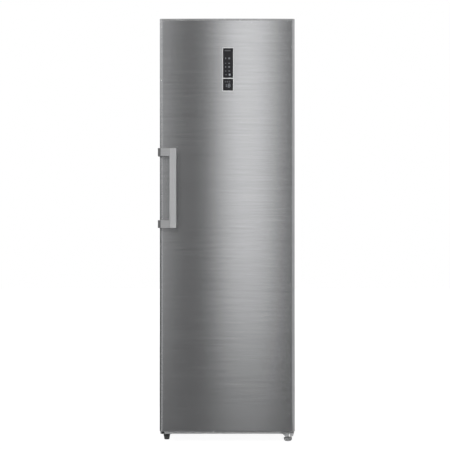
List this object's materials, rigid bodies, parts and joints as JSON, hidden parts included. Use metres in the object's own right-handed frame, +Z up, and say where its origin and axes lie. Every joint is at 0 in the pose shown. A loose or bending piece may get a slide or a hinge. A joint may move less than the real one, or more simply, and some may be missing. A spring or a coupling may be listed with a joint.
{
  "type": "upright freezer",
  "caption": "Tall upright freezer with a full-height brushed steel door, side bar handle, slim touch display, clear drawers and flaps behind the door.",
  "frame": {"origin": "on the floor under the middle of the appliance's overall width and depth", "axes": "+Z up, the door faces -Y, the handle is on the -X side and the door hinges on the +X side"},
  "size_m": [0.603, 0.688, 1.87],
  "materials": {
    "door_steel": "fine horizontal brushing, satin",
    "cabinet_paint": "grey satin paint over sheet steel",
    "back_sheet": "galvanised grey sheet",
    "base_sheet": "dark powder coat",
    "foam": "rigid polyurethane foam",
    "liner_plastic": "vacuum-formed white plastic",
    "cap_plastic": "grey moulded plastic",
    "seal": "grey extruded seal",
    "clear_plastic": "clear moulded plastic",
    "shelf_glass": "toughened clear glass",
    "trim_plastic": "silver-grey plastic edging",
    "lens": "frosted lamp lens",
    "handle_metal": "satin anodised",
    "screw_steel": "zinc-plated fasteners",
    "display_frame": "silver rim",
    "display_glass": "black glass",
    "circuit_board": "green laminate",
    "hinge_steel": "plated pressed steel",
    "pin_steel": "turned steel",
    "bush_plastic": "self-lubricating plastic",
    "foot_plastic": "black moulded plastic",
    "foot_grey": "grey ribbed plastic",
    "roller_plastic": "hard plastic",
    "compressor_paint": "black enamel",
    "mount_rubber": "black rubber",
    "pan_plastic": "dark heat-proof plastic",
    "copper": "bare copper",
    "box_plastic": "white moulded plastic",
    "cover_board": "black ribbed board",
    "fin_aluminium": "bare aluminium",
    "fan_plastic": "black moulded plastic"
  },
  "bodies": {
    "cabinet": {"side_panel_left": "cabinet_paint", "side_panel_right": "cabinet_paint", "top_panel": "cabinet_paint", "front_rail": "cabinet_paint", "back_panel": "back_sheet", "base_frame": "base_sheet", "cabinet_insulation": "foam", "floor_insulation": "foam", "ceiling_insulation": "foam", "inner_liner": "liner_plastic", "evaporator_cover": "liner_plastic", "top_hinge_cover": "cap_plastic", "glass_shelves": "shelf_glass", "shelf_trims": "trim_plastic", "lamp_lens": "lens", "hinge_screws": "screw_steel", "bottom_hinge_bracket": "hinge_steel", "top_hinge_bracket": "hinge_steel", "bottom_hinge_pin": "pin_steel", "roller_axles": "pin_steel", "hinge_hole_plug": "foot_plastic", "compressor": "compressor_paint", "compressor_mounts": "mount_rubber", "cord_gland": "mount_rubber", "evaporation_tray": "pan_plastic", "refrigerant_pipes": "copper", "control_box": "box_plastic", "rear_cover": "cover_board", "evaporator": "fin_aluminium", "drip_tray": "fin_aluminium", "defrost_heater": "fin_aluminium", "fan_motor": "fan_plastic"},
    "door": {"door_skin": "door_steel", "door_insulation": "foam", "door_liner": "liner_plastic", "door_top_cap": "cap_plastic", "door_bottom_cap": "cap_plastic", "door_gasket": "seal", "handle_bar": "handle_metal", "handle_bracket_upper": "handle_metal", "handle_bracket_lower": "handle_metal", "handle_screws": "screw_steel", "display_bezel": "display_frame", "display_glass_upper": "display_glass", "display_glass_lower": "display_glass", "display_board": "circuit_board", "door_top_bush": "bush_plastic", "door_bottom_bush": "bush_plastic"},
    "drawer_1": {"drawer_1": "clear_plastic"},
    "drawer_2": {"drawer_2": "clear_plastic"},
    "drawer_3": {"drawer_3": "clear_plastic"},
    "drawer_4": {"drawer_4": "clear_plastic"},
    "drawer_5": {"drawer_5": "clear_plastic"},
    "flap_1": {"flap_1": "clear_plastic"},
    "flap_2": {"flap_2": "clear_plastic"},
    "fan": {"fan_rotor": "fan_plastic"},
    "roller_left": {"roller_left": "roller_plastic"},
    "roller_right": {"roller_right": "roller_plastic"},
    "foot_left": {"foot_left": "foot_plastic"},
    "foot_right": {"foot_right": "foot_grey"}
  },
  "joints": [
    {"name": "door_hinge", "type": "hinge", "parent": "cabinet", "child": "door", "pos_m": [0.273, -0.27, 0.95], "axis": [0, 0, 1], "range_deg": [0, 135]},
    {"name": "drawer_1_slide", "type": "slide", "parent": "cabinet", "child": "drawer_1", "axis": [0, -1, 0], "range_m": [0, 0.33]},
    {"name": "drawer_2_slide", "type": "slide", "parent": "cabinet", "child": "drawer_2", "axis": [0, -1, 0], "range_m": [0, 0.33]},
    {"name": "drawer_3_slide", "type": "slide", "parent": "cabinet", "child": "drawer_3", "axis": [0, -1, 0], "range_m": [0, 0.33]},
    {"name": "drawer_4_slide", "type": "slide", "parent": "cabinet", "child": "drawer_4", "axis": [0, -1, 0], "range_m": [0, 0.33]},
    {"name": "drawer_5_slide", "type": "slide", "parent": "cabinet", "child": "drawer_5", "axis": [0, -1, 0], "range_m": [0, 0.33]},
    {"name": "flap_1_hinge", "type": "hinge", "parent": "cabinet", "child": "flap_1", "pos_m": [0, -0.2, 1.518], "axis": [-1, 0, 0], "range_deg": [0, 90]},
    {"name": "flap_2_hinge", "type": "hinge", "parent": "cabinet", "child": "flap_2", "pos_m": [0, -0.2, 1.768], "axis": [-1, 0, 0], "range_deg": [0, 90]},
    {"name": "fan_spin", "type": "hinge", "parent": "cabinet", "child": "fan", "pos_m": [0, 0.2275, 1.584], "axis": [0, 1, 0], "continuous": true},
    {"name": "roller_left_spin", "type": "hinge", "parent": "cabinet", "child": "roller_left", "pos_m": [-0.2535, 0.298, 0.02], "axis": [1, 0, 0], "continuous": true},
    {"name": "roller_right_spin", "type": "hinge", "parent": "cabinet", "child": "roller_right", "pos_m": [0.2535, 0.298, 0.02], "axis": [1, 0, 0], "continuous": true},
    {"name": "foot_left_turn", "type": "hinge", "parent": "cabinet", "child": "foot_left", "pos_m": [-0.2705, -0.198, 0], "axis": [0, 0, 1], "continuous": true},
    {"name": "foot_right_turn", "type": "hinge", "parent": "cabinet", "child": "foot_right", "pos_m": [0.27, -0.246, 0], "axis": [0, 0, 1], "continuous": true}
  ],
  "couplings": [
    {"joint": "drawer_1_slide", "follows": "door_hinge", "m_per_rad": 0.068},
    {"joint": "drawer_2_slide", "follows": "door_hinge", "m_per_rad": 0.068},
    {"joint": "drawer_3_slide", "follows": "door_hinge", "m_per_rad": 0.068},
    {"joint": "drawer_4_slide", "follows": "door_hinge", "m_per_rad": 0.068},
    {"joint": "drawer_5_slide", "follows": "door_hinge", "m_per_rad": 0.068},
    {"joint": "flap_1_hinge", "follows": "door_hinge", "ratio": 0.3},
    {"joint": "flap_2_hinge", "follows": "door_hinge", "ratio": 0.3}
  ]
}
